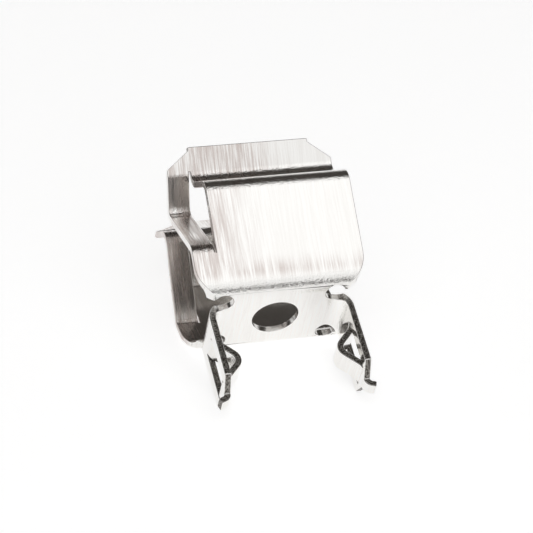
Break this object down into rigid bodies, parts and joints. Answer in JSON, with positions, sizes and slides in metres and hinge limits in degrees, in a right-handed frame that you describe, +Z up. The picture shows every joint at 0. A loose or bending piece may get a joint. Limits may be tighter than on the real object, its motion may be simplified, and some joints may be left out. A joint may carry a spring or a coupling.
{
  "type": "pcb fuse clip",
  "caption": "Folded spring-metal clip that grips one cap of a cartridge fuse between flared arms with inward end stops, with snap-in legs bowed to hold in a circuit board.",
  "frame": {"origin": "axis of the round base hole at the underside of the base, the face that seats on the board", "axes": "+X along the fuse, away from the end stops; +Y from the front arm to the rear arm; +Z up, away from the board"},
  "size_m": [0.0077, 0.0076, 0.0123],
  "materials": {
    "plated_sheet": "bright tin plate with fine brushed lines"
  },
  "bodies": {
    "root": {"fuse_clip": "plated_sheet"}
  },
  "joints": []
}
